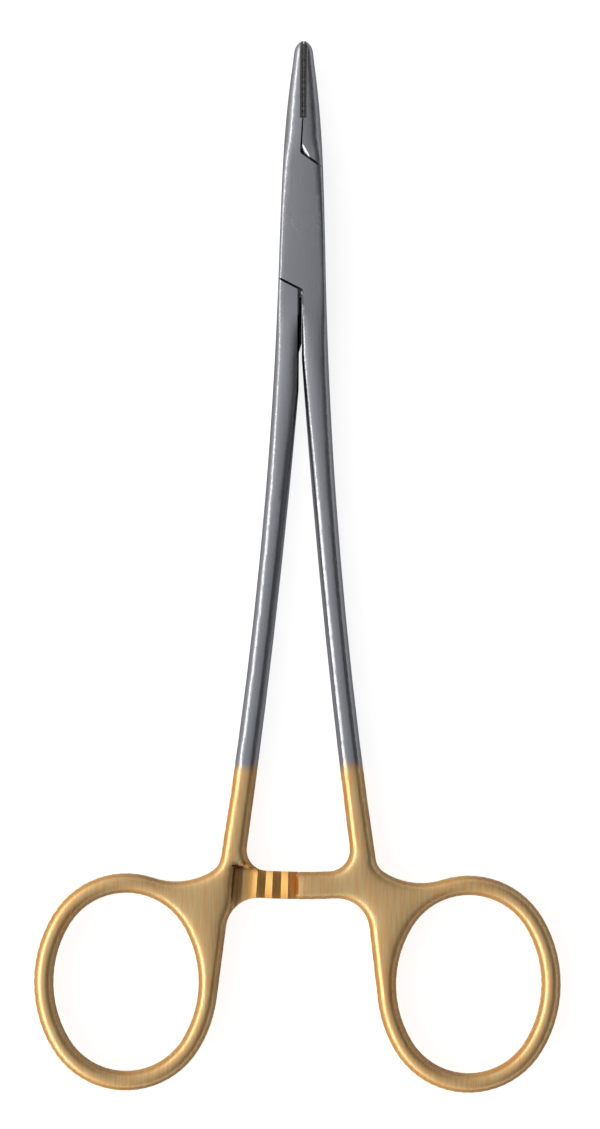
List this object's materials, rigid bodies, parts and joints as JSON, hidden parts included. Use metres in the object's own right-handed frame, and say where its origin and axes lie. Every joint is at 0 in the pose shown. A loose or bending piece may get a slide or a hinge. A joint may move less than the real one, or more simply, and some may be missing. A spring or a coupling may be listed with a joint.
{
  "type": "surgical needle holder",
  "caption": "Slender surgical needle holder with a box lock, serrated hard-metal jaw inserts, a ratchet and gold-plated oval finger rings, for gripping and driving suture needles.",
  "frame": {"origin": "on the lock pin's axis, at the back face of the box lock, on which the instrument rests", "axes": "+Y along the instrument to the jaw tips, +X to the male half's jaw, +Z out of the front face, where the toothless side of the front ratchet bar is seen"},
  "size_m": [0.0764, 0.1523, 0.0048],
  "materials": {
    "forged_steel": "satin stainless steel; the handles below the shanks' last quarter are gold plated",
    "hard_metal": "matt serrated hard metal"
  },
  "bodies": {
    "female_arm": {"female_half": "forged_steel", "female_jaw_insert": "hard_metal", "lock_pin": "forged_steel"},
    "male_arm": {"male_half": "forged_steel", "male_jaw_insert": "hard_metal"}
  },
  "joints": [
    {"name": "box_lock_hinge", "type": "hinge", "parent": "female_arm", "child": "male_arm", "pos_m": [0, 0, 0.0024], "axis": [0, 0, -1], "range_deg": [0, 36]}
  ]
}
